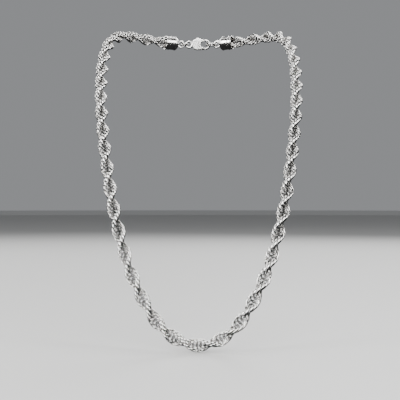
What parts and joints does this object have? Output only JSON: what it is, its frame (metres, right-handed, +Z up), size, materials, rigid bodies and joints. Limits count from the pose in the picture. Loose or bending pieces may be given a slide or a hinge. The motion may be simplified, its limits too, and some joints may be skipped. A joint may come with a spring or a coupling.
{
  "type": "chain necklace",
  "caption": "Twisted rope chain necklace of interlinked metal rings, with cup end caps, a tail ring and a lobster-claw clasp, shaped as worn.",
  "frame": {"origin": "middle of the neck opening, level with the nape", "axes": "+Z up, -Y towards the front drop, +X to the right as seen from the front"},
  "size_m": [0.1141, 0.1433, 0.174],
  "materials": {
    "chain": "polished",
    "clasp": "polished",
    "pin": "satin",
    "spring": "satin"
  },
  "bodies": {
    "nape": {"chain_left_10": "chain", "cap_left": "clasp", "chain_right_10": "chain", "cap_right": "clasp"},
    "left_9": {"chain_left_9": "chain"},
    "left_8": {"chain_left_8": "chain"},
    "left_7": {"chain_left_7": "chain"},
    "left_6": {"chain_left_6": "chain"},
    "left_5": {"chain_left_5": "chain"},
    "left_4": {"chain_left_4": "chain"},
    "left_3": {"chain_left_3": "chain"},
    "left_2": {"chain_left_2": "chain"},
    "left_1": {"chain_left_1": "chain"},
    "right_9": {"chain_right_9": "chain"},
    "right_8": {"chain_right_8": "chain"},
    "right_7": {"chain_right_7": "chain"},
    "right_6": {"chain_right_6": "chain"},
    "right_5": {"chain_right_5": "chain"},
    "right_4": {"chain_right_4": "chain"},
    "right_3": {"chain_right_3": "chain"},
    "right_2": {"chain_right_2": "chain"},
    "right_1": {"chain_right_1": "chain"},
    "front": {"chain_front": "chain"},
    "jump_ring": {"jump_ring": "clasp"},
    "tail_ring": {"tail_ring": "clasp"},
    "claw": {"claw_body": "clasp", "lever_pin": "pin", "lever_spring": "spring"},
    "lever": {"claw_lever": "clasp"}
  },
  "joints": [
    {"name": "lift_left_9", "type": "hinge", "parent": "nape", "child": "left_9", "pos_m": [-0.04412, 0.02318, 0.00035], "axis": [-1, 0, 0], "range_deg": [0, 8]},
    {"name": "lift_left_8", "type": "hinge", "parent": "left_9", "child": "left_8", "pos_m": [-0.05234, 0.00314, -0.00892], "axis": [-1, 0, 0], "range_deg": [0, 8]},
    {"name": "lift_left_7", "type": "hinge", "parent": "left_8", "child": "left_7", "pos_m": [-0.05376, -0.0147, -0.02484], "axis": [-1, 0, 0], "range_deg": [0, 8]},
    {"name": "spread_left_6", "type": "hinge", "parent": "left_7", "child": "left_6", "pos_m": [-0.05255, -0.03124, -0.04218], "axis": [0, 1, 0], "range_deg": [-5.5, 5.5]},
    {"name": "spread_left_5", "type": "hinge", "parent": "left_6", "child": "left_5", "pos_m": [-0.05002, -0.04605, -0.06088], "axis": [0, 1, 0], "range_deg": [-5.51, 5.51]},
    {"name": "spread_left_4", "type": "hinge", "parent": "left_5", "child": "left_4", "pos_m": [-0.04645, -0.05894, -0.0808], "axis": [0, 1, 0], "range_deg": [-5, 5]},
    {"name": "spread_left_3", "type": "hinge", "parent": "left_4", "child": "left_3", "pos_m": [-0.0421, -0.07041, -0.10142], "axis": [0, 1, 0], "range_deg": [-5, 5]},
    {"name": "curl_left_2", "type": "hinge", "parent": "left_3", "child": "left_2", "pos_m": [-0.03603, -0.07961, -0.12272], "axis": [-1, 0, 0], "range_deg": [0, 8]},
    {"name": "curl_left_1", "type": "hinge", "parent": "left_2", "child": "left_1", "pos_m": [-0.02696, -0.08578, -0.14399], "axis": [-1, 0, 0], "range_deg": [0, 8]},
    {"name": "curl_left_0", "type": "hinge", "parent": "left_1", "child": "front", "pos_m": [-0.01211, -0.08806, -0.16233], "axis": [-1, 0, 0], "range_deg": [0, 6]},
    {"name": "lift_right_9", "type": "hinge", "parent": "nape", "child": "right_9", "pos_m": [0.04412, 0.02318, 0.00035], "axis": [-1, 0, 0], "range_deg": [0, 8]},
    {"name": "lift_right_8", "type": "hinge", "parent": "right_9", "child": "right_8", "pos_m": [0.05234, 0.00314, -0.00892], "axis": [-1, 0, 0], "range_deg": [0, 8]},
    {"name": "lift_right_7", "type": "hinge", "parent": "right_8", "child": "right_7", "pos_m": [0.05376, -0.0147, -0.02484], "axis": [-1, 0, 0], "range_deg": [0, 8]},
    {"name": "spread_right_6", "type": "hinge", "parent": "right_7", "child": "right_6", "pos_m": [0.05255, -0.03124, -0.04218], "axis": [0, 1, 0], "range_deg": [-5.51, 5.51]},
    {"name": "spread_right_5", "type": "hinge", "parent": "right_6", "child": "right_5", "pos_m": [0.05002, -0.04605, -0.06088], "axis": [0, 1, 0], "range_deg": [-5.51, 5.51]},
    {"name": "spread_right_4", "type": "hinge", "parent": "right_5", "child": "right_4", "pos_m": [0.04645, -0.05894, -0.0808], "axis": [0, 1, 0], "range_deg": [-5, 5]},
    {"name": "spread_right_3", "type": "hinge", "parent": "right_4", "child": "right_3", "pos_m": [0.0421, -0.07041, -0.10142], "axis": [0, 1, 0], "range_deg": [-5, 5]},
    {"name": "curl_right_2", "type": "hinge", "parent": "right_3", "child": "right_2", "pos_m": [0.03603, -0.07961, -0.12272], "axis": [-1, 0, 0], "range_deg": [0, 8]},
    {"name": "curl_right_1", "type": "hinge", "parent": "right_2", "child": "right_1", "pos_m": [0.02696, -0.08578, -0.14399], "axis": [-1, 0, 0], "range_deg": [0, 8]},
    {"name": "jump_ring_sway", "type": "hinge", "parent": "nape", "child": "jump_ring", "pos_m": [-0.00961, 0.0483, -0.00011], "axis": [0, 1, 0], "range_deg": [-3, 3]},
    {"name": "tail_ring_sway", "type": "hinge", "parent": "nape", "child": "tail_ring", "pos_m": [0.00961, 0.0483, -0.00011], "axis": [0, 1, 0], "range_deg": [-3, 3]},
    {"name": "claw_roll", "type": "hinge", "parent": "jump_ring", "child": "claw", "pos_m": [-0.00613, 0.0483, -0.00011], "axis": [1, 0, 0], "range_deg": [-8, 8]},
    {"name": "lever_open", "type": "hinge", "parent": "claw", "child": "lever", "pos_m": [-0.00023, 0.0483, 0.00069], "axis": [0, 1, 0], "range_deg": [0, 25], "stiffness_Nm_per_rad": 0.002, "springref_deg": -28.65}
  ],
  "couplings": [
    {"joint": "lift_left_8", "follows": "lift_left_9", "ratio": 1},
    {"joint": "lift_left_7", "follows": "lift_left_9", "ratio": 1},
    {"joint": "spread_left_5", "follows": "spread_left_6", "ratio": -1},
    {"joint": "spread_left_4", "follows": "spread_left_6", "ratio": -0.90681},
    {"joint": "spread_left_3", "follows": "spread_left_6", "ratio": 0.90681},
    {"joint": "curl_left_1", "follows": "curl_left_2", "ratio": 1},
    {"joint": "curl_left_0", "follows": "curl_left_2", "ratio": 0.75},
    {"joint": "lift_right_9", "follows": "lift_left_9", "ratio": 1},
    {"joint": "lift_right_8", "follows": "lift_left_9", "ratio": 1},
    {"joint": "lift_right_7", "follows": "lift_left_9", "ratio": 1},
    {"joint": "spread_right_6", "follows": "spread_left_6", "ratio": -1},
    {"joint": "spread_right_5", "follows": "spread_left_6", "ratio": 1},
    {"joint": "spread_right_4", "follows": "spread_left_6", "ratio": 0.90681},
    {"joint": "spread_right_3", "follows": "spread_left_6", "ratio": -0.90681},
    {"joint": "curl_right_2", "follows": "curl_left_2", "ratio": 1},
    {"joint": "curl_right_1", "follows": "curl_left_2", "ratio": 1}
  ]
}
